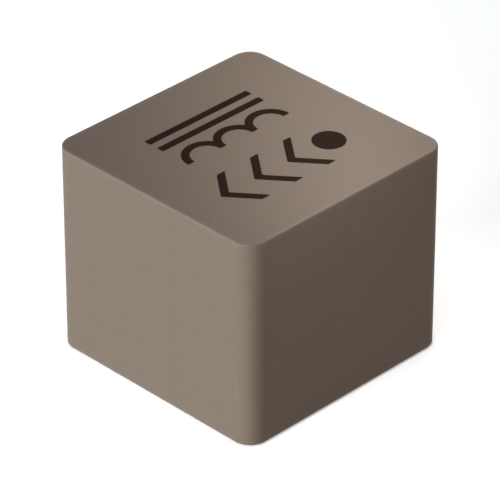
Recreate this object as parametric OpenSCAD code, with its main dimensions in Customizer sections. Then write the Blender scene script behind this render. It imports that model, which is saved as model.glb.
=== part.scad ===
// Shielded power inductor for surface mounting, pressed from magnetic composite.
//
// A flat enamelled wire is wound on edge into a coil and buried in a square
// block of pressed metal powder, which is core, shield and housing in one.
// Both ends of the wire come down inside the block and stand on two tinned
// terminals, which lie in its underside and are all that shows of the circuit.
//
// Millimetres, +Z up. The origin is on the seating plane, under the middle of
// the block. The terminals lie at the two ends along X.

/* [Block] */
// Width of the block along X
block_w = 6.6; // [6.3:0.1:9]
// Depth of the block along Y
block_d = 6.6; // [6.3:0.1:9]
// Height of the block from its underside to its top
block_h = 5.6; // [5:0.1:9]
// Radius of the four upright corners
corner_r = 0.5; // [0.2:0.05:0.9]
// Radius that the press leaves along the top and bottom edges
edge_r = 0.04; // [0.02:0.01:0.1]
// Height of the block's underside above the seating plane
standoff = 0.05; // [0.02:0.01:0.1]

/* [Winding] */
// Number of full turns
turns = 8; // [3:1:9]
// Diameter of the bore inside the turns
coil_bore = 2.8; // [2.2:0.1:3]
// Width of the flat wire, measured across a turn
wire_w = 0.9; // [0.5:0.05:1]
// Thickness of the flat wire
wire_t = 0.3; // [0.15:0.01:0.33]
// Thickness of the enamel on every face of the wire
enamel = 0.025; // [0.015:0.005:0.04]

/* [Leads] */
// Inside radius of the bends in the two leads
lead_bend = 0.2; // [0.1:0.05:0.3]
// Composite left between an upright lead and the side of the block
lead_cover = 0.4; // [0.25:0.05:0.6]
// Length of the straight foot that is welded to a terminal
foot_l = 0.7; // [0.4:0.05:0.9]

/* [Terminals] */
// Length of a terminal's soldering face along X
pad_l = 1.6; // [1.4:0.1:2]
// Width of a terminal's soldering face along Y
pad_w = 5; // [4.8:0.1:5.4]
// Thickness of the terminal strip
pad_t = 0.15; // [0.1:0.01:0.25]
// Distance from the side of the block to a terminal
pad_inset = 0.15; // [0.05:0.05:0.3]
// Corner radius of a soldering face
pad_r = 0.15; // [0.05:0.05:0.3]
// Width along X of the ears that key a terminal into the block
ear_w = 0.8; // [0.5:0.1:1]
// Height of the straight part of an ear, above its bend
ear_h = 0.35; // [0.1:0.05:0.8]
// Inside radius of the bend below an ear
ear_bend = 0.1; // [0.05:0.05:0.2]

/* [Hidden] */
$fn = 64;

composite_colour = [0.53, 0.49, 0.45];
enamel_colour = [0.66, 0.33, 0.16];
tin_colour = [0.80, 0.80, 0.77];

turn_steps = 40;
bend_steps = 8;

// The middle of the coil, halfway up the block.
coil_z = standoff + block_h / 2;
coil_r = (coil_bore + wire_w) / 2;
pitch = wire_t + 2 * enamel;
coil_rise = turns * pitch;
coil_start_z = coil_z - coil_rise / 2;
coil_end_z = coil_z + coil_rise / 2;

// A lead goes on climbing or falling as steeply as the turn that it leaves,
// which takes it clear of the next turn.
lead_slope = pitch / (2 * PI * coil_r);
lead_x = block_w / 2 - lead_cover - enamel - wire_t / 2;
lead_bend_mid = lead_bend + wire_t / 2;
foot_z = pad_t + wire_t / 2;
foot_x = lead_x - lead_bend_mid - foot_l;

// The size of the enamelled wire's section, which the composite closes round.
space_w = wire_w + 2 * enamel;
space_t = wire_t + 2 * enamel;

pad_x = block_w / 2 - pad_inset - pad_l / 2;

// ---- Paths with rounded corners, and what is drawn along them ----

function unit(v) = v / norm(v);

// Points along the arc that rounds corner b of the path a, b, c to radius r.
function corner_arc(a, b, c, r) =
    let (
        to_a = unit(a - b),
        to_c = unit(c - b),
        half = acos(to_a * to_c) / 2,
        centre = b + unit(to_a + to_c) * r / sin(half),
        from = b + to_a * r / tan(half) - centre,
        to = b + to_c * r / tan(half) - centre,
        sweep = 180 - 2 * half
    )
    [for (i = [0:bend_steps])
        let (part = i / bend_steps * sweep)
        centre + (from * sin(sweep - part) + to * sin(part)) / sin(sweep)];

// The path through the points, with every corner between its ends rounded.
function rounded_path(points, r) = [
    points[0],
    for (i = [1:len(points) - 2]) each corner_arc(points[i - 1], points[i], points[i + 1], r),
    points[len(points) - 1]
];

// Where two faces with these unit normals meet, as a multiple of their offset.
function mitre(a, b) = (a + b) / (1 + a * b);

// The outline of a flat strip, seen on edge, that follows the path. Its two
// ends are cut upright.
function strip_outline(path, thickness) =
    let (
        last = len(path) - 1,
        normals = [for (i = [1:last]) let (run = unit(path[i] - path[i - 1])) [-run.y, run.x]],
        side = [
            [0, sign(normals[0].y)],
            for (i = [1:last - 1]) mitre(normals[i - 1], normals[i]),
            [0, sign(normals[last - 1].y)]
        ]
    )
    [
        for (i = [0:last]) path[i] + side[i] * thickness / 2,
        for (i = [last:-1:0]) path[i] - side[i] * thickness / 2
    ];

// A closed solid through a row of sections, which all have as many corners.
module sweep(sections) {
    corners = len(sections[0]);
    last = len(sections) - 1;
    skin = [
        for (i = [0:last - 1], k = [0:corners - 1])
            let (
                a = corners * i + k,
                b = corners * i + (k + 1) % corners
            )
            each [[a, b, b + corners], [a, b + corners, a + corners]]
    ];
    near_end = [for (k = [corners - 1:-1:0]) k];
    far_end = [for (k = [0:corners - 1]) corners * last + k];
    polyhedron([for (section = sections) each section], concat(skin, [near_end, far_end]));
}

// ---- The winding ----

// The leads lie in a plane along X and Z, at the radius where the coil ends.
start_lead = rounded_path([
    [foot_x, foot_z],
    [lead_x, foot_z],
    [lead_x, coil_start_z - lead_slope * lead_x],
    [0, coil_start_z]
], lead_bend_mid);

finish_lead = rounded_path([
    [0, coil_end_z],
    [-lead_x, coil_end_z + lead_slope * lead_x],
    [-lead_x, foot_z],
    [-foot_x, foot_z]
], lead_bend_mid);

// Where the coil points away from its axis after so many turns.
function outward(turn) = [-sin(360 * turn), cos(360 * turn), 0];

// The middle of the wire all the way from foot to foot.
wire_line = [
    for (p = start_lead) [p.x, coil_r, p.y],
    for (i = [1:turns * turn_steps - 1])
        let (turn = i / turn_steps)
        coil_r * outward(turn) + [0, 0, coil_start_z + turn * pitch],
    for (p = finish_lead) [p.x, coil_r, p.y]
];

// The direction across the wire's width at each point of that line.
wire_across = [
    for (p = start_lead) outward(0),
    for (i = [1:turns * turn_steps - 1]) outward(i / turn_steps),
    for (p = finish_lead) outward(0)
];

module winding() {
    last = len(wire_line) - 1;
    sections = [
        for (i = [0:last])
            let (
                run_in = wire_line[max(i, 1)] - wire_line[max(i, 1) - 1],
                run_out = wire_line[min(i, last - 1) + 1] - wire_line[min(i, last - 1)],
                across = wire_across[i] * wire_w / 2,
                through = wire_t / 2 * mitre(
                    unit(cross(wire_across[i], run_in)),
                    unit(cross(wire_across[i], run_out))
                )
            )
            [for (side = [across + through, through - across, -across - through, across - through])
                wire_line[i] + side]
    ];
    color(enamel_colour)
        sweep(sections);
}

// One turn of a ramp that rises by a pitch, in two halves, less the stretch
// where the straight lead comes in. It reaches past the coil on every side.
module ramp() {
    reach = wire_w;
    difference() {
        for (half = [0, 1])
            sweep([
                for (i = [0:turn_steps / 2])
                    let (
                        turn = half / 2 + i / turn_steps,
                        inner = (coil_r - reach) * outward(turn),
                        outer = (coil_r + reach) * outward(turn),
                        top = [0, 0, turn * pitch],
                        bottom = [0, 0, -pitch]
                    )
                    [outer + top, inner + top, inner + bottom, outer + bottom]
            ]);
        translate([0, coil_r - space_w / 2, -2 * pitch])
            cube([coil_r + reach, space_w, 4 * pitch]);
    }
}

// The room that the enamelled turns take up. Its floor climbs with the first
// turn, and its ceiling with the last.
module coil_space() {
    half_h = (coil_rise + space_t) / 2;
    translate([0, 0, coil_z])
        difference() {
            rotate_extrude()
                translate([coil_r - space_w / 2, -half_h])
                    square([space_w, 2 * half_h]);
            for (end = [0, 180])
                rotate([0, end, 0])
                    translate([0, 0, -half_h])
                        ramp();
        }
}

// The room that an enamelled lead takes up.
module lead_space(lead)
    translate([0, coil_r, 0])
        rotate([90, 0, 0])
            linear_extrude(space_w, center = true)
                polygon(strip_outline(lead, space_t));

// ---- The terminals ----

module rounded_rectangle(length, width, radius) {
    square([length - 2 * radius, width], center = true);
    square([length, width - 2 * radius], center = true);
    for (x = [-1, 1], y = [-1, 1])
        translate([x * (length / 2 - radius), y * (width / 2 - radius)])
            circle(radius);
}

// A strip bent up through a right angle from the end of the soldering face.
module ear()
    translate([0, pad_w / 2, pad_t + ear_bend])
        rotate([0, 90, 0]) {
            rotate_extrude(angle = 90)
                translate([ear_bend, -ear_w / 2])
                    square([pad_t, ear_w]);
            translate([-ear_h, ear_bend, -ear_w / 2])
                cube([ear_h, pad_t, ear_w]);
        }

// A flat soldering face with an ear bent up at each end, at the +X end.
module terminal_form()
    translate([pad_x, 0, 0]) {
        linear_extrude(pad_t)
            rounded_rectangle(pad_l, pad_w, pad_r);
        for (side = [0, 1])
            mirror([0, side, 0])
                ear();
    }

module start_terminal()
    color(tin_colour)
        terminal_form();

module finish_terminal()
    color(tin_colour)
        mirror([1, 0, 0])
            terminal_form();

// ---- The pressed block ----

// Half of the block's section, from its middle out to the given reach.
module block_profile(reach) {
    square([reach - edge_r, block_h]);
    translate([0, edge_r])
        square([reach, block_h - 2 * edge_r]);
    for (y = [edge_r, block_h - edge_r])
        translate([reach - edge_r, y])
            circle(edge_r);
}

// A bar of the block's full height with two of its long sides finished.
module block_bar(width, length)
    rotate([90, 0, 0])
        linear_extrude(length, center = true)
            for (side = [0, 1])
                mirror([side, 0])
                    block_profile(width / 2);

module pressed_block() {
    block_bar(block_w, block_d - 2 * corner_r);
    rotate(90)
        block_bar(block_d, block_w - 2 * corner_r);
    for (x = [0, 1], y = [0, 1])
        mirror([x, 0, 0])
            mirror([0, y, 0])
                translate([block_w / 2 - corner_r, block_d / 2 - corner_r, 0])
                    rotate_extrude(angle = 90)
                        block_profile(corner_r);
}

// The composite is pressed round the finished circuit, so it takes its shape.
module core_block()
    color(composite_colour)
        difference() {
            translate([0, 0, standoff])
                pressed_block();
            coil_space();
            lead_space(start_lead);
            lead_space(finish_lead);
            start_terminal();
            finish_terminal();
        }

core_block();
winding();
start_terminal();
finish_terminal();
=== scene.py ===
# %% [markdown]
# # A shielded power inductor, pressed from powder
# The real part is a cube of metal powder and resin, pressed in a steel die
# round a coil of flat wire. The powder is core, shield and housing in one, so
# all that shows outside is a plain matt block, a printed sign on its top, and
# two tinned terminals underneath.
#
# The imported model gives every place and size. It could be shown as it is, but
# its rounded corners are cut into few facets, and its edges are plain bevels.
# So the block and the terminals are made again here, finer, from sizes that
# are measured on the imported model, and the winding stays as it was packed.

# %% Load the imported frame
import math

import bmesh
import bpy
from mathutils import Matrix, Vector


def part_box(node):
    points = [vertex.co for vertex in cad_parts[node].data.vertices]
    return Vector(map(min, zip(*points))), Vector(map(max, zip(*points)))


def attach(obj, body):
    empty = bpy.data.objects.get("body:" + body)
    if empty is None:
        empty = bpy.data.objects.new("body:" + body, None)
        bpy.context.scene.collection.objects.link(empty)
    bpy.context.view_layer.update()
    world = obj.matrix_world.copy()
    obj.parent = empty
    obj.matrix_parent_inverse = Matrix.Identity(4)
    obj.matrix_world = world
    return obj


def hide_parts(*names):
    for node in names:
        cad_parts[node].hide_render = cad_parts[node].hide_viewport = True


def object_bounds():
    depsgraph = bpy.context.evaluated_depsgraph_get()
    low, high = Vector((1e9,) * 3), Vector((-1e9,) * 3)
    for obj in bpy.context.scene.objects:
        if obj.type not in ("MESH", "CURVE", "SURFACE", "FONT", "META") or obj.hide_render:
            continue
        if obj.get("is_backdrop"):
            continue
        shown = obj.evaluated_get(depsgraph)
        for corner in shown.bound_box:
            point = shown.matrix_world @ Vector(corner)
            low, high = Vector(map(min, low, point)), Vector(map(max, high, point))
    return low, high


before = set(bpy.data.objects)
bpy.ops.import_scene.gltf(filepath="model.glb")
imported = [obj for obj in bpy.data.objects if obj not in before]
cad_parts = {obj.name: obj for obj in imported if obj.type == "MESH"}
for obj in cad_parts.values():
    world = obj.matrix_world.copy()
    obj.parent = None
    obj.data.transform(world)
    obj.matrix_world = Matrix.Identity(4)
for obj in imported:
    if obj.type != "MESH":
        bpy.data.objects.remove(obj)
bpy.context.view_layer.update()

MM = 0.001  # Blender works in metres, and this part is small
TOUCH = 0.0001 * MM  # two points closer than this are in one place
for node in sorted(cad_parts):
    low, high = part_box(node)
    print(node, [round(size / MM, 3) for size in high - low], "mm")

# %% [markdown]
# ## Sizes of the block
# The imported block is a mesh, and a mesh holds its own sizes. The flat part of
# its back face ends where an upright corner starts to turn, so the distance
# from there to the side is the corner's radius. The top's flat part ends at
# the small edge radius in the same way. Reading them keeps the fine block
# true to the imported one, which typing the numbers again wouldn't.

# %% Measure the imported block
block_low, block_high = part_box("core_block")
block_centre = (block_low + block_high) / 2
block_size = block_high - block_low
block_points = [v.co.copy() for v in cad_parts["core_block"].data.vertices]
back_points = [p for p in block_points if p.y > block_high.y - TOUCH]
top_points = [p for p in block_points if p.z > block_high.z - TOUCH]
corner_radius = block_high.x - max(p.x for p in back_points)
rim_radius = block_high.x - max(p.x for p in top_points)
print("corner radius", round(corner_radius / MM, 3), "mm")
print("rim radius", round(rim_radius / MM, 3), "mm")

# %% [markdown]
# ## Helpers that turn a bmesh into a piece
# Each piece is worked out as a bmesh, which is Blender's editable mesh in
# Python, and then becomes an object. Smooth shading alone would smear light
# over flat faces that meet a narrow bevel. Edges sharper than a limit are
# therefore marked sharp, and weighted normals let the large faces decide, so
# that flat faces look flat and the narrow bevels carry all of the turn.

# %% Make an object, and give it its normals
SHARP_ANGLE = math.radians(35)


def make_object(name, bm):
    bmesh.ops.recalc_face_normals(bm, faces=bm.faces)
    mesh = bpy.data.meshes.new(name)
    bm.to_mesh(mesh)
    bm.free()
    obj = bpy.data.objects.new(name, mesh)
    bpy.context.scene.collection.objects.link(obj)
    return obj


def apply_modifiers(obj):
    depsgraph = bpy.context.evaluated_depsgraph_get()
    finished = bpy.data.meshes.new_from_object(
        obj.evaluated_get(depsgraph), depsgraph=depsgraph
    )
    obj.modifiers.clear()
    obj.data = finished
    finished.name = obj.name


def shade(obj):
    obj.data.shade_smooth()
    obj.data.set_sharp_from_angle(angle=SHARP_ANGLE)
    weighted = obj.modifiers.new("weighted normals", "WEIGHTED_NORMAL")
    weighted.keep_sharp = True
    apply_modifiers(obj)


def report(obj):
    bm = bmesh.new()
    bm.from_mesh(obj.data)
    open_edges = sum(not e.is_manifold for e in bm.edges)
    volume = bm.calc_volume() / MM**3
    print(f"{obj.name}: {len(bm.faces)} faces, {open_edges} open edges,"
          f" {volume:.2f} mm3")
    bm.free()


# %% [markdown]
# ## The block's outer skin
# The die gives the block four upright corners of about half a millimetre, and
# the punches leave a much smaller radius round the top and the bottom. A box
# with one bevel modifier would give every edge the same radius. Two bevels in
# turn, first the upright edges and then the rims that run round them, give
# each its own, as the die and the punches do.
#
# Loops of edges are added close beside the rims last. They change no shape,
# and they keep the wear and the painted highlight on the rims from bleeding
# far over the faces.

# %% Bevel a box twice
CORNER_STEPS = 16
RIM_STEPS = 4
# Within this reach the rims are rubbed smoother and painted lighter as a highlight.
WEAR_AND_HIGHLIGHT_REACH = 0.09 * MM  # how far the rubbed rims reach into the faces


def level(edge, z):
    return all(abs(v.co.z - z) < TOUCH for v in edge.verts)


def upright_edges(bm):
    return [e for e in bm.edges
            if abs(e.verts[0].co.z - e.verts[1].co.z) > TOUCH]


def box_mesh(low, high):
    bm = bmesh.new()
    bmesh.ops.create_cube(bm, size=1)
    for v in bm.verts:
        v.co = Vector(h if c > 0 else l for c, l, h in zip(v.co, low, high))
    return bm


def round_edges(bm, edges, radius, steps):
    bmesh.ops.bevel(bm, geom=edges, offset=radius, segments=steps,
                    profile=0.5, affect="EDGES")


def slice_mesh(bm, axis, place):
    point, normal = Vector((0, 0, 0)), Vector((0, 0, 0))
    point[axis], normal[axis] = place, 1
    geometry = bm.verts[:] + bm.edges[:] + bm.faces[:]
    bmesh.ops.bisect_plane(bm, geom=geometry, dist=TOUCH,
                           plane_co=point, plane_no=normal)


skin = box_mesh(block_low, block_high)
round_edges(skin, upright_edges(skin), corner_radius, CORNER_STEPS)
rims = [e for e in skin.edges
        if level(e, block_low.z) or level(e, block_high.z)]
round_edges(skin, rims, rim_radius, RIM_STEPS)
caps = [f for f in skin.faces if abs(f.normal.z) > 0.999]
bmesh.ops.inset_individual(skin, faces=caps, thickness=WEAR_AND_HIGHLIGHT_REACH,
                           use_even_offset=True)
slice_mesh(skin, 2, block_low.z + rim_radius + WEAR_AND_HIGHLIGHT_REACH)
slice_mesh(skin, 2, block_high.z - rim_radius - WEAR_AND_HIGHLIGHT_REACH)
block = make_object("pressed_block", skin)
report(block)

# %% [markdown]
# ## The room inside the block
# The powder closes round the coil, its leads and the terminals, so the real
# block is hollow exactly where they are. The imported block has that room, and
# the fine skin doesn't. Cutting the winding out again would need every gap to
# be guessed. Instead, a plain box that lies just inside the sides has the
# packed block taken away from it, which leaves the room itself as a solid,
# and that solid is then cut from the fine skin. The box has rounded corners
# too, because a square one would reach out through the block's round ones.

# %% Cut the room out
WALL = 0.1 * MM  # the room's box stays this far inside the sides and the top


def cut(obj, tool):
    boolean = obj.modifiers.new("cut", "BOOLEAN")
    boolean.operation = "DIFFERENCE"
    boolean.solver = "EXACT"
    boolean.object = tool
    apply_modifiers(obj)
    bpy.data.objects.remove(tool)


packed = bmesh.new()
packed.from_mesh(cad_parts["core_block"].data)
bmesh.ops.remove_doubles(packed, verts=packed.verts, dist=TOUCH)
packed_copy = make_object("packed_copy", packed)
report(packed_copy)
room_low = block_low + Vector((WALL, WALL, -WALL))
room_high = block_high - Vector((WALL, WALL, WALL))
room_box = box_mesh(room_low, room_high)
round_edges(room_box, upright_edges(room_box), corner_radius, CORNER_STEPS)
room = make_object("room", room_box)
cut(room, packed_copy)
report(room)
cut(block, room)
report(block)

# %% [markdown]
# ## Rubbed edges, with a painted highlight
# Pressed powder is dull, and its edges are polished a little where they slide
# out of the die and rub against other parts in a feeder. The same mark also
# paints the rims a shade lighter, which is a painted highlight along the edges.
# A material can only know where an edge is if something tells it. Here each
# vertex gets a number from 0 on the faces to 1 on the rims, stored as a mesh
# attribute that the material reads. It comes from how deep the vertex lies
# under the outline of the block seen from above, and how far below its top or
# above its underside. The upright corners are rounder, so they get less wear
# and less painted highlight.

# %% Store the wear and the painted highlight as an attribute
WEAR_AND_HIGHLIGHT = "rubbed_and_highlight"
CORNER_WEAR_AND_HIGHLIGHT = 0.4


def nearness(gap, reach):
    return min(1, max(0, 1 - gap / reach))


# Wear and painted highlight: 1 on the rims, 0 on the faces.
def edge_wear_and_highlight(point):
    past = [abs(point[a] - block_centre[a]) - block_size[a] / 2 + corner_radius
            for a in (0, 1)]
    beyond = math.hypot(*(max(0, p) for p in past)) + min(0, max(past))
    inside = nearness(corner_radius - beyond - rim_radius, WEAR_AND_HIGHLIGHT_REACH)
    depth = block_size.z / 2 - abs(point.z - block_centre.z)
    rim = inside * nearness(depth - rim_radius, WEAR_AND_HIGHLIGHT_REACH)
    turned = min(past) / max(past) if min(past) > 0 else 0
    return max(rim, CORNER_WEAR_AND_HIGHLIGHT * turned * inside)


wear_and_highlight = block.data.attributes.new(WEAR_AND_HIGHLIGHT, "FLOAT", "POINT")
wear_and_highlight.data.foreach_set("value", [edge_wear_and_highlight(v.co) for v in block.data.vertices])
shade(block)
print("rubbed vertices:", sum(d.value > 0 for d in
                              block.data.attributes[WEAR_AND_HIGHLIGHT].data))

# %% [markdown]
# ## The terminals
# A terminal is a small blank, punched from tinned copper strip: a rectangle
# with rounded corners and a tab at each end. The tabs are bent up as ears,
# which the powder then grips. A box with two more boxes for ears would have
# no bend at all. The blank is therefore modelled flat, thickened, given the
# soft edge that a punch leaves, and only then bent, with every point moved
# along an arc. That is how the press does it, and the thickness stays true.

# %% Measure a terminal and draw its blank
CORNER_POINTS = 6
EAR_STEPS = 10
PUNCHED_EDGE = 0.015 * MM


def terminal_sizes(node):
    low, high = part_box(node)
    points = [v.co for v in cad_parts[node].data.vertices]
    face = [p for p in points if p.z < low.z + TOUCH]
    side = max(p.y for p in face)
    row = [p.x for p in face if p.y > side - TOUCH]
    ears = [p.x for p in points if p.y > side + TOUCH]
    plate = [p.z for p in points if abs(p.y) < side + TOUCH]
    thickness = max(plate) - low.z
    return dict(
        middle=(low + high) / 2, floor=low.z, top=high.z, side=side,
        half_length=(high.x - low.x) / 2, thickness=thickness,
        corner=high.x - max(row), half_ear=(max(ears) - min(ears)) / 2,
        bend=high.y - side - thickness,
    )


def arc(centre, radius, start, turn, steps):
    return [
        (centre[0] + radius * math.cos(start + turn * i / steps),
         centre[1] + radius * math.sin(start + turn * i / steps))
        for i in range(steps + 1)
    ]


def blank_outline(size, reach):
    half, side, corner = size["half_length"], size["side"], size["corner"]
    ear = size["half_ear"]
    quarter = arc((half - corner, side - corner), corner, 0, math.pi / 2,
                  CORNER_POINTS)
    right = quarter + [(ear, side), (ear, reach)]
    upper = right + [(-x, y) for x, y in reversed(right)]
    return upper + [(-x, -y) for x, y in upper]


for node in ("start_terminal", "finish_terminal"):
    print(node, {k: round(v / MM, 3) for k, v in terminal_sizes(node).items()
                 if k != "middle"})

# %% Thicken the blank, soften it and bend its ears


def bend_up(point, size):
    """Moves a point of the flat blank to its place on the bent terminal."""
    middle_radius = size["bend"] + size["thickness"] / 2
    past = abs(point.y) - size["side"]
    if past <= 0:
        return point
    turn = min(past / middle_radius, math.pi / 2)
    straight = past - turn * middle_radius
    radius = size["bend"] + size["thickness"] - point.z
    out = size["side"] + radius * math.sin(turn)
    up = size["bend"] + size["thickness"] - radius * math.cos(turn) + straight
    return Vector((point.x, math.copysign(out, point.y), up))


def terminal_strip(name, node):
    size = terminal_sizes(node)
    bent = (size["bend"] + size["thickness"] / 2) * math.pi / 2
    ear_height = size["top"] - size["floor"] - size["bend"] - size["thickness"]
    bm = bmesh.new()
    outline = blank_outline(size, size["side"] + bent + ear_height)
    face = bm.faces.new([bm.verts.new((x, y, 0)) for x, y in outline])
    thick = bmesh.ops.extrude_face_region(bm, geom=[face])
    for item in thick["geom"]:
        if isinstance(item, bmesh.types.BMVert):
            item.co.z = size["thickness"]
    rim = [e for e in bm.edges
           if level(e, 0) or level(e, size["thickness"])]
    round_edges(bm, rim, PUNCHED_EDGE, 2)
    for step in range(EAR_STEPS + 1):
        place = size["side"] + bent * step / EAR_STEPS
        slice_mesh(bm, 1, place)
        slice_mesh(bm, 1, -place)
    for v in bm.verts:
        v.co = bend_up(v.co, size)
        v.co += Vector((size["middle"].x, size["middle"].y, size["floor"]))
    obj = make_object(name, bm)
    shade(obj)
    report(obj)
    return obj


terminals = {
    node: terminal_strip(node + "_strip", node)
    for node in ("start_terminal", "finish_terminal")
}

# %% [markdown]
# ## The printed sign
# A blank block doesn't say which end the winding starts at, so it is printed
# with ink on its top. This one has no lettering. It shows the drawing sign of
# a coil with a magnetic core, which is a row of humps under two bars, and
# below it a dot at the start of the winding and arrowheads that point to its
# finish.
#
# Ink could be painted in the block's material, but it would then have no edge
# of its own. Real ink lies on the surface as a film a few thousandths of a
# millimetre thick. Each mark is drawn as a closed outline by formula, filled
# as one face, and raised by the film's thickness.

# %% Outlines of the marks
STROKE = 0.2 * MM
HUMPS = 3
HUMP_RADIUS = 0.53 * MM
HUMP_POINTS = 24
BARS = 2
BAR_GAP = 0.23 * MM
ARROWS = 3
ARROW_HALF = Vector((0.3, 0.75)) * MM
ARROW_STEP = 1.1 * MM
DOT_RADIUS = 0.42 * MM
SIGN_MIDDLE = Vector((0, 1.05)) * MM
POINTER_MIDDLE = Vector((-0.2, -1.2)) * MM


def hump_row(middle):
    """One outline round a row of half circles that touch end to end."""
    outer, inner = HUMP_RADIUS + STROKE / 2, HUMP_RADIUS - STROKE / 2
    meet = math.acos(HUMP_RADIUS / outer)
    over, under = [], []
    for i in range(HUMPS):
        x = middle.x + (i - (HUMPS - 1) / 2) * 2 * HUMP_RADIUS
        start = math.pi if i == 0 else math.pi - meet
        end = 0 if i == HUMPS - 1 else meet
        over += arc((x, middle.y), outer, start, end - start, HUMP_POINTS)
        under += arc((x, middle.y), inner, math.pi, -math.pi, HUMP_POINTS)
    outline = over + under[::-1]
    return [p for i, p in enumerate(outline)
            if math.dist(p, outline[i - 1]) > TOUCH]


def bar(middle, half_length):
    x, y, h = middle.x, middle.y, STROKE / 2
    return [(x - half_length, y - h), (x + half_length, y - h),
            (x + half_length, y + h), (x - half_length, y + h)]


def arrowhead(middle):
    """An open arrowhead of one stroke, with its tip towards -X."""
    x, y = middle
    half_x, half_y = ARROW_HALF
    lean = math.hypot(2 * half_x, half_y) / half_y
    width = STROKE * lean
    tip, tail = x - half_x, x + half_x
    return [(tip, y), (tail, y - half_y), (tail + width, y - half_y),
            (tip + width, y), (tail + width, y + half_y), (tail, y + half_y)]


def sign_outlines():
    lift = (2 * STROKE + BARS * BAR_GAP) / 2
    base = SIGN_MIDDLE - Vector((0, HUMP_RADIUS / 2 + lift))
    yield hump_row(base)
    row_top = base.y + HUMP_RADIUS + STROKE / 2
    for i in range(BARS):
        y = row_top + BAR_GAP + STROKE / 2 + i * (STROKE + BAR_GAP)
        yield bar(Vector((SIGN_MIDDLE.x, y)), HUMPS * HUMP_RADIUS + STROKE / 2)
    marks = ARROWS + 1
    for i in range(marks):
        x = POINTER_MIDDLE.x + (i - (marks - 1) / 2) * ARROW_STEP
        middle = Vector((x, POINTER_MIDDLE.y))
        if i < ARROWS:
            yield arrowhead(middle)
        else:
            yield arc(middle, DOT_RADIUS, 0, 2 * math.pi, 2 * HUMP_POINTS)[:-1]


# %% Fill the outlines and raise them by the film's thickness
FILM = 0.008 * MM
SUNK = 0.002 * MM  # the ink soaks in by this much
INK_CORNER = 0.03 * MM  # wet ink rounds every corner by this much
CORNER_TURN = math.radians(25)


def soften_corners(outline):
    """Cuts each sharp corner off with a small curve of three points."""
    softened = []
    for before, corner, after in zip(outline[-1:] + outline[:-1], outline,
                                     outline[1:] + outline[:1]):
        b, c, a = Vector(before), Vector(corner), Vector(after)
        if (c - b).angle(a - c) < CORNER_TURN:
            softened.append(corner)
            continue
        start = c + (b - c).normalized() * INK_CORNER
        end = c + (a - c).normalized() * INK_CORNER
        softened += [tuple(start), tuple((start + 2 * c + end) / 4),
                     tuple(end)]
    return softened


ink = bmesh.new()
for outline in map(soften_corners, sign_outlines()):
    corners = [ink.verts.new((x, y, block_high.z - SUNK)) for x, y in outline]
    filled = bmesh.ops.triangle_fill(
        ink, use_beauty=True,
        edges=[ink.edges.new(pair) for pair in
               zip(corners, corners[1:] + corners[:1])],
    )
    faces = [f for f in filled["geom"] if isinstance(f, bmesh.types.BMFace)]
    raised = bmesh.ops.extrude_face_region(ink, geom=faces)
    for item in raised["geom"]:
        if isinstance(item, bmesh.types.BMVert):
            item.co.z = block_high.z + FILM
sign = make_object("printed_sign", ink)
shade(sign)
report(sign)

# %% [markdown]
# ## Every piece rides on the part's one body
# Nothing in this part moves, so it has one body. Each new piece rides on it,
# and the imported node that it replaces is hidden. The ink replaces no
# imported node.

# %% Attach the pieces to the imported part
block_and_strips = {
    "core_block": (block, "composite"),
    "start_terminal": (terminals["start_terminal"], "tinned_copper"),
    "finish_terminal": (terminals["finish_terminal"], "tinned_copper"),
}
for node, (piece, slot) in block_and_strips.items():
    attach(piece, "root")
    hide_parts(node)
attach(sign, "root")

# %% [markdown]
# ## Helpers for materials
# A material is a graph of nodes. A few short helpers keep the graphs readable.
# They add a node and fill its inputs, start a material with its Principled
# BSDF, start a node group with named inputs and outputs, place such a group,
# and turn a colour as it is seen into the numbers that a shader works with.

# %% Node helpers


def fill(tree, node, inputs):
    """Gives each input of a node a value, or a socket to link it to."""
    for name, value in inputs.items():
        socket = node.inputs[name]
        if isinstance(value, bpy.types.NodeSocket):
            tree.links.new(value, socket)
        else:
            socket.default_value = value


def add(tree, kind, inputs=None, **settings):
    node = tree.nodes.new("ShaderNode" + kind)
    for name, value in settings.items():
        setattr(node, name, value)
    fill(tree, node, inputs or {})
    return node


def math_node(tree, operation, *values, clamp=False):
    inputs = dict(enumerate(values))
    return add(tree, "Math", inputs, operation=operation,
               use_clamp=clamp).outputs[0]


def new_material(name):
    material = bpy.data.materials.new(name)
    material.use_nodes = True
    tree = material.node_tree
    return material, tree, tree.nodes["Principled BSDF"]


def new_group(name, inputs, outputs):
    """Inputs are (name, kind, default) and outputs are (name, kind)."""
    group = bpy.data.node_groups.new(name, "ShaderNodeTree")
    for socket, kind, default in inputs:
        made = group.interface.new_socket(
            socket, in_out="INPUT", socket_type="NodeSocket" + kind)
        if default is not None:
            made.default_value = default
    for socket, kind in outputs:
        group.interface.new_socket(
            socket, in_out="OUTPUT", socket_type="NodeSocket" + kind)
    given = group.nodes.new("NodeGroupInput").outputs
    result = group.nodes.new("NodeGroupOutput").inputs
    return group, given, result


def place_group(tree, group, inputs):
    node = tree.nodes.new("ShaderNodeGroup")
    node.node_tree = group
    fill(tree, node, inputs)
    return node.outputs


def shaded(tree, colour, shade_value):
    """A colour made lighter or darker by a value that changes over it."""
    return add(tree, "VectorMath", {0: colour[:3], "Scale": shade_value},
               operation="SCALE").outputs[0]


def linear(red, green, blue):
    """A colour as it is seen, 0 to 255, turned into the shader's numbers."""
    def channel(value):
        value /= 255
        if value <= 0.04045:
            return value / 12.92
        return ((value + 0.055) / 1.055) ** 2.4
    return (channel(red), channel(green), channel(blue), 1)

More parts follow.
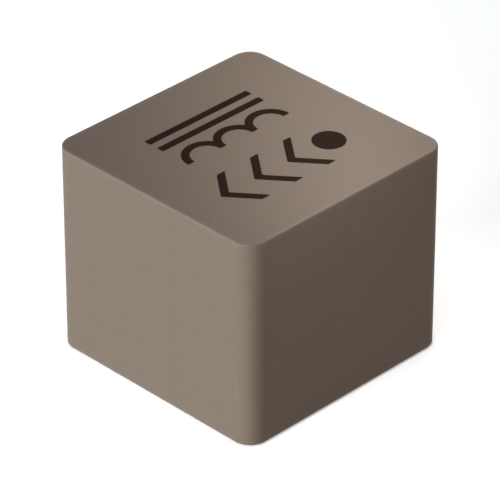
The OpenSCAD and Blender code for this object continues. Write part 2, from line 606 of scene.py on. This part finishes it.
# %% [markdown]
# ## Powder grain, as a group
# The block and the ink that lies on it share one look: grains of metal powder
# about a twentieth of a millimetre across, each a shade lighter or darker, in
# a surface that is almost flat. Here and there a grain was rubbed bare and
# glints, or fell out and left a dark pore. Pressing also packs the powder a
# little unevenly, which shows as faint soft patches.
#
# Two materials use this, so it is a node group. A Voronoi texture gives each
# grain a colour of its own, and the three channels of that colour are three
# random numbers: one chooses glints and pores, one sets the shade and one the
# height. Sizes are in millimetres.

# %% Build the powder grain group
PER_MM = 1 / MM
DOT = 0.45  # radius of a glint or pore, in grains
GLINT_LIGHTER, PORE_DARKER = 0.4, 0.35

powder, given, result = new_group(
    "Powder grain",
    [("Vector", "Vector", None), ("Grain size", "Float", 0.05),
     ("Grain strength", "Float", 0.08), ("Patch size", "Float", 0.9),
     ("Patch strength", "Float", 0.05), ("Speck share", "Float", 0.02)],
    [("Shade", "Float"), ("Roughening", "Float"), ("Glint", "Float"),
     ("Height", "Float")],
)
grains = add(powder, "TexVoronoi", {
    "Vector": given["Vector"],
    "Scale": math_node(powder, "DIVIDE", PER_MM, given["Grain size"])})
patches = add(powder, "TexNoise", {
    "Vector": given["Vector"],
    "Scale": math_node(powder, "DIVIDE", PER_MM, given["Patch size"]),
    "Detail": 3.0, "Roughness": 0.55})
chance, tone, lift = add(powder, "SeparateColor",
                         {"Color": grains.outputs["Color"]}).outputs
dot = math_node(powder, "MULTIPLY_ADD", grains.outputs["Distance"], -1 / DOT,
                1.0, clamp=True)
bare = math_node(powder, "GREATER_THAN", chance,
                 math_node(powder, "SUBTRACT", 1.0, given["Speck share"]))
lost = math_node(powder, "LESS_THAN", chance, given["Speck share"])
glint = math_node(powder, "MULTIPLY", dot, bare)
pore = math_node(powder, "MULTIPLY", dot, lost)
tone = math_node(powder, "SUBTRACT", tone, 0.5)
grain_part = math_node(powder, "MULTIPLY", tone, given["Grain strength"])
patch = math_node(powder, "SUBTRACT", patches.outputs[0], 0.5)
patch_part = math_node(powder, "MULTIPLY", patch, given["Patch strength"])
level_shade = math_node(powder, "ADD", grain_part, patch_part)
glint_shade = math_node(powder, "MULTIPLY_ADD", glint, GLINT_LIGHTER, 1.0)
pore_shade = math_node(powder, "MULTIPLY_ADD", pore, -PORE_DARKER,
                       glint_shade)
height = math_node(powder, "SUBTRACT", lift, pore)
for name, value in (("Shade", math_node(powder, "ADD", level_shade,
                                        pore_shade)),
                    ("Roughening", tone), ("Glint", glint),
                    ("Height", height)):
    powder.links.new(value, result[name])

# %% [markdown]
# ## Pressed composite
# The finish of the block: dull, brownish grey, with the powder grain, fine
# upright streaks on the sides where the block was pushed out of its die, and
# edges rubbed a little smoother and painted a little lighter as a highlight.
# The streaks are noise that is stretched along Z, and the face's own direction
# keeps them off the top. The gloss is low, because a surface of powder scatters
# nearly all its light.

# %% Build the composite material
COMPOSITE_COLOUR = linear(113, 98, 85)
GRAIN_BUMP = 0.0012 * MM
STREAK_STRENGTH = 0.06
STREAK_SIZE = 0.12  # millimetres across
STREAK_STRETCH = 0.04  # smaller makes them longer
COMPOSITE_ROUGHNESS, GRAIN_ROUGHENING = 0.55, 0.12
# The rims are painted this much lighter, a painted highlight, and rubbed this much
# smoother.
RUBBED_HIGHLIGHT_LIGHTER, RUBBED_SMOOTHER = 0.10, 0.12
GLINT_METAL = 0.6
COMPOSITE_SPECULAR = 0.15

composite, tree, shader = new_material("pressed composite")
place = add(tree, "TexCoord").outputs["Object"]
grain = place_group(tree, powder, {"Vector": place})
stretched = add(tree, "Mapping",
                {"Vector": place, "Scale": (1, 1, STREAK_STRETCH)})
streaks = add(tree, "TexNoise",
              {"Vector": stretched.outputs[0], "Scale": PER_MM / STREAK_SIZE,
               "Detail": 2.0})
facing = add(tree, "SeparateXYZ",
             {"Vector": add(tree, "TexCoord").outputs["Normal"]})
facing_up = math_node(tree, "ABSOLUTE", facing.outputs["Z"])
on_sides = math_node(tree, "SUBTRACT", 1.0, facing_up, clamp=True)
streak = math_node(tree, "MULTIPLY", on_sides,
                   math_node(tree, "SUBTRACT", streaks.outputs[0], 0.5))
streak_shade = math_node(tree, "MULTIPLY_ADD", streak, STREAK_STRENGTH,
                         grain["Shade"])
rubbed_and_highlight = add(tree, "Attribute", attribute_name=WEAR_AND_HIGHLIGHT).outputs["Fac"]
# Painted highlight: the rims' colour is made lighter here, besides their rubbed
# smoothness.
rubbed_highlight_shade = math_node(tree, "MULTIPLY_ADD", rubbed_and_highlight, RUBBED_HIGHLIGHT_LIGHTER,
                         streak_shade)
rough = math_node(tree, "MULTIPLY_ADD", grain["Roughening"],
                  GRAIN_ROUGHENING, COMPOSITE_ROUGHNESS)
bump = add(tree, "Bump", {"Height": grain["Height"], "Strength": 1.0,
                          "Distance": GRAIN_BUMP})
fill(tree, shader, {
    "Base Color": shaded(tree, COMPOSITE_COLOUR, rubbed_highlight_shade),
    "Metallic": math_node(tree, "MULTIPLY", grain["Glint"], GLINT_METAL),
    "Roughness": math_node(tree, "MULTIPLY_ADD", rubbed_and_highlight, -RUBBED_SMOOTHER,
                           rough),
    "Normal": bump.outputs[0],
    "Specular IOR Level": COMPOSITE_SPECULAR})

# %% [markdown]
# ## Printing ink
# A dark brown ink, printed thin and matt. The powder's grain still shows
# through it, so it uses the same group with a gentler bump, and where the ink
# ran a little thin its colour is a shade lighter.

# %% Build the ink material
INK_COLOUR = linear(36, 25, 18)
INK_ROUGHNESS, INK_ROUGHENING = 0.54, 0.1
INK_SPECULAR = 0.01

ink_material, tree, shader = new_material("printing ink")
place = add(tree, "TexCoord").outputs["Object"]
grain = place_group(tree, powder,
                    {"Vector": place, "Grain strength": 0.12,
                     "Patch size": 0.5, "Patch strength": 0.12,
                     "Speck share": 0.01})
bump = add(tree, "Bump", {"Height": grain["Height"], "Strength": 1.0,
                          "Distance": GRAIN_BUMP / 2})
fill(tree, shader, {
    "Base Color": shaded(tree, INK_COLOUR, grain["Shade"]),
    "Roughness": math_node(tree, "MULTIPLY_ADD", grain["Roughening"],
                           INK_ROUGHENING, INK_ROUGHNESS),
    "Normal": bump.outputs[0],
    "Specular IOR Level": INK_SPECULAR})

# %% [markdown]
# ## Matt tin, and copper under enamel
# The terminals are copper plated with matt tin. Plated tin grows as flat
# crystals with slightly different gloss, so its roughness changes from cell to
# cell, over faint lines that the rolling of the strip left in the copper.
# The winding is never seen on a whole part, but whoever cuts the model open
# finds it: bright copper under a clear amber enamel, which is a coat.

# %% Build the tin material
TIN_COLOUR = linear(214, 211, 204)
TIN_ROUGHNESS, CRYSTAL_ROUGHENING = 0.34, 0.12
CRYSTAL_SIZE, LINE_SIZE = 0.12, 0.06  # millimetres
LINE_STRETCH = 0.03
LINE_SHADE = 0.10
LINE_BUMP = 0.002 * MM

tin, tree, shader = new_material("matt tin plating")
place = add(tree, "TexCoord").outputs["Object"]
crystals = add(tree, "TexVoronoi",
               {"Vector": place, "Scale": PER_MM / CRYSTAL_SIZE},
               feature="SMOOTH_F1")
crystal_tone = add(tree, "SeparateColor",
                   {"Color": crystals.outputs["Color"]})
rolled = add(tree, "Mapping",
             {"Vector": place, "Scale": (1, LINE_STRETCH, 1)})
lines = add(tree, "TexNoise",
            {"Vector": rolled.outputs[0], "Scale": PER_MM / LINE_SIZE,
             "Detail": 3.0})
line_shade = math_node(tree, "MULTIPLY_ADD", lines.outputs[0], LINE_SHADE,
                       1 - LINE_SHADE / 2)
bump = add(tree, "Bump", {"Height": lines.outputs[0], "Strength": 1.0,
                          "Distance": LINE_BUMP})
fill(tree, shader, {
    "Base Color": shaded(tree, TIN_COLOUR, line_shade),
    "Roughness": math_node(tree, "MULTIPLY_ADD", crystal_tone.outputs[0],
                           CRYSTAL_ROUGHENING, TIN_ROUGHNESS),
    "Normal": bump.outputs[0],
    "Metallic": 1})

# %% Build the enamelled copper material
COPPER_COLOUR = linear(203, 122, 78)
COPPER_SHADE = 0.2
COPPER_ROUGHNESS, DRAWN_ROUGHENING = 0.2, 0.15
DRAWN_SIZE = 0.3  # millimetres
ENAMEL_TINT = (1.0, 0.72, 0.42, 1)
ENAMEL_ROUGHNESS = 0.08

enamelled, tree, shader = new_material("enamelled copper")
place = add(tree, "TexCoord").outputs["Object"]
drawn = add(tree, "TexNoise", {"Vector": place,
                               "Scale": PER_MM / DRAWN_SIZE, "Detail": 3.0})
drawn_shade = math_node(tree, "MULTIPLY_ADD", drawn.outputs[0], COPPER_SHADE,
                        1 - COPPER_SHADE / 2)
fill(tree, shader, {
    "Base Color": shaded(tree, COPPER_COLOUR, drawn_shade),
    "Roughness": math_node(tree, "MULTIPLY_ADD", drawn.outputs[0],
                           DRAWN_ROUGHENING, COPPER_ROUGHNESS),
    "Metallic": 1,
    "Coat Weight": 1,
    "Coat Tint": ENAMEL_TINT,
    "Coat Roughness": ENAMEL_ROUGHNESS})

# %% Give every piece its material


def dress(obj, material):
    obj.data.materials.clear()
    obj.data.materials.append(material)


finishes = {"core_block": composite, "start_terminal": tin,
            "finish_terminal": tin, "winding": enamelled}
for node, material in finishes.items():
    dress(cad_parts[node], material)
for node, (piece, slot) in block_and_strips.items():
    dress(piece, finishes[node])
dress(sign, ink_material)

# %% [markdown]
# ## The floor
# The block stands on a plain white table. The lens looks down on it, so the
# floor is also the whole background. A white floor under this light would
# look grey, and more lamps would spoil the block's own tones. So the Light
# Path node gives the lens a brighter floor than the one that lights the
# block: its lit colour is raised, which keeps the soft shadow at the foot of
# the block, and some plain white is mixed in. Reflections see mostly plain
# white, because a raised colour between the floor and the bright terminals
# would grow with each bounce. Far out the floor turns into plain white, so
# that it has no horizon in a level view.
#
# From below the floor is clear, so that the terminals can be looked at from
# underneath.

# %% Say which rays show a thing


def ray_kinds(tree):
    """Masks for the rays that come from the lens and from a reflection."""
    rays = add(tree, "LightPath").outputs
    mirrored = math_node(tree, "MAXIMUM", rays["Is Glossy Ray"],
                         rays["Is Transmission Ray"])
    return rays["Is Camera Ray"], mirrored, rays["Is Shadow Ray"]


# %% Make the floor
FLOOR_RADIUS = 2
FLOOR_COLOUR = linear(240, 240, 240)
LENS_GAIN = 3.1  # how much brighter the lens sees the floor's lit colour
LENS_WHITE = 0.3  # share of plain white that the lens sees
MIRRORED_WHITE = 0.85  # and that reflections see
FADE_START, FADE_END = 20 * MM, 100 * MM
CLOUD_SCALE, CLOUD_SHADE = 20.0, 0.02

disc = bmesh.new()
bmesh.ops.create_circle(disc, cap_ends=True, segments=64, radius=FLOOR_RADIUS)
floor = make_object("floor", disc)
floor.location.z = terminal_sizes("start_terminal")["floor"]
floor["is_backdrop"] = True
floor_material, tree, shader = new_material("white table")
tree.nodes.remove(shader)
place = add(tree, "TexCoord").outputs["Object"]
lens, mirrored, shadow_ray = ray_kinds(tree)
clouds = add(tree, "TexNoise", {"Vector": place, "Scale": CLOUD_SCALE})
faint = math_node(tree, "MULTIPLY_ADD", clouds.outputs[0], CLOUD_SHADE,
                  1 - CLOUD_SHADE / 2)
gain = math_node(tree, "MULTIPLY_ADD", lens, LENS_GAIN - 1, 1.0)
brightness = math_node(tree, "MULTIPLY", gain, faint)
lit = add(tree, "BsdfDiffuse",
          {"Color": shaded(tree, FLOOR_COLOUR, brightness)})
distance = add(tree, "VectorMath", {0: place}, operation="LENGTH")
far = add(tree, "MapRange",
          {"Value": distance.outputs["Value"],
           "From Min": FADE_START, "From Max": FADE_END,
           "To Min": LENS_WHITE, "To Max": 1.0},
          interpolation_type="SMOOTHSTEP").outputs[0]
share = math_node(tree, "ADD", math_node(tree, "MULTIPLY", lens, far),
                  math_node(tree, "MULTIPLY", mirrored, MIRRORED_WHITE))
white = add(tree, "Emission", {"Strength": 1.0})
table = add(tree, "MixShader",
            {0: share, 1: lit.outputs[0], 2: white.outputs[0]})
under = add(tree, "NewGeometry").outputs["Backfacing"]
clear = add(tree, "MixShader",
            {0: math_node(tree, "MAXIMUM", under, shadow_ray),
             1: table.outputs[0],
             2: add(tree, "BsdfTransparent").outputs[0]})
tree.links.new(clear.outputs[0],
               tree.nodes["Material Output"].inputs["Surface"])
dress(floor, floor_material)

# %% [markdown]
# ## The light
# Soft studio light: large area lamps round the block, and a world that gives
# a plain level from everywhere. Each lamp's strength is its brightness as
# seen, which stays the same when its size changes, and the power in watts
# that Blender asks for is worked out from it. The lamp over the far right
# corner is small and close, so that the top fades from dark to light across
# its width, and the left side is turned to the brightest lamp.

# %% Lamps and world
WORLD_LEVEL = 0.1
LAMPS = {
    # name: azimuth, elevation, distance mm, size mm, brightness, colour
    "key": (-95, 4, 240, (240, 240), 5.95, (0.915, 1.0, 1.08)),
    "overhead strip": (52, 67.5, 7.9, (14, 3), 3.7, (1.0, 1.0, 1.0)),
    "front fill": (5, 12, 240, (200, 200), 0.3, (1.0, 0.5, 0.25)),
    "back": (115, 3, 240, (200, 200), 1.8, (1.0, 1.0, 1.0)),
    "below": (0, -70, 240, (240, 240), 0.3, (1.0, 0.7, 0.4)),
}


def direction(azimuth, elevation):
    """From the block towards an onlooker: azimuth 0 is in front, at -Y."""
    a, e = math.radians(azimuth), math.radians(elevation)
    return Vector((math.sin(a) * math.cos(e), -math.cos(a) * math.cos(e),
                   math.sin(e)))


def aim(obj, target):
    away = obj.location - target
    obj.rotation_mode = "QUATERNION"
    obj.rotation_quaternion = (-away).to_track_quat("-Z", "Y")


for name, (azimuth, elevation, distance, size, bright, tint) in LAMPS.items():
    data = bpy.data.lights.new(name, "AREA")
    data.shape = "RECTANGLE"
    data.size, data.size_y = size[0] * MM, size[1] * MM
    data.energy = bright * math.pi * data.size * data.size_y
    data.color = tint
    lamp = bpy.data.objects.new(name, data)
    lamp.visible_camera = False
    lamp.location = block_centre + direction(azimuth, elevation) * distance * MM
    aim(lamp, block_centre)
    bpy.context.scene.collection.objects.link(lamp)
    print(name, round(data.energy, 4), "W")

world = bpy.data.worlds.new("studio")
bpy.context.scene.world = world
world.use_nodes = True
tree = world.node_tree
background = tree.nodes["Background"]
background.inputs["Color"].default_value = (1, 1, 1, 1)
lens, mirrored, _ = ray_kinds(tree)
seen = math_node(tree, "MAXIMUM", lens, mirrored)
tree.links.new(
    math_node(tree, "MULTIPLY_ADD", seen, 1 - WORLD_LEVEL, WORLD_LEVEL),
    background.inputs["Strength"])
bpy.context.scene.view_settings.view_transform = "Standard"

# %% [markdown]
# ## The lens
# The block is seen over its front corner, from 45 degrees to its left and 32.5
# degrees up, from fourteen times its width away. So far off, a long lens
# draws its upright edges almost parallel. The aim is a little below the
# block's middle, which sets the block a little high in the frame.

# %% Camera
VIEW_AZIMUTH, VIEW_ELEVATION = -45, 32.5
VIEW_DISTANCE = 14.43  # block widths
AIM_BELOW = 0.0226  # block widths
LENS, SENSOR_WIDTH = 284.8, 36  # millimetres

camera_data = bpy.data.cameras.new("camera")
camera_data.lens = LENS
camera_data.sensor_width = SENSOR_WIDTH
camera_data.clip_start = 1 * MM
camera = bpy.data.objects.new("camera", camera_data)
bpy.context.scene.collection.objects.link(camera)
bpy.context.scene.camera = camera
back = direction(VIEW_AZIMUTH, VIEW_ELEVATION)
frame_up = direction(VIEW_AZIMUTH, VIEW_ELEVATION + 90)
target = block_centre - frame_up * AIM_BELOW * block_size.x
camera.location = target + back * VIEW_DISTANCE * block_size.x
aim(camera, target)

# %% [markdown]
# ## Sizes of the dressed part
# The dressed part is meant to fill the same box as the imported one, and its
# box is measured here.

# %% Measure the dressed part's box
low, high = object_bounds()
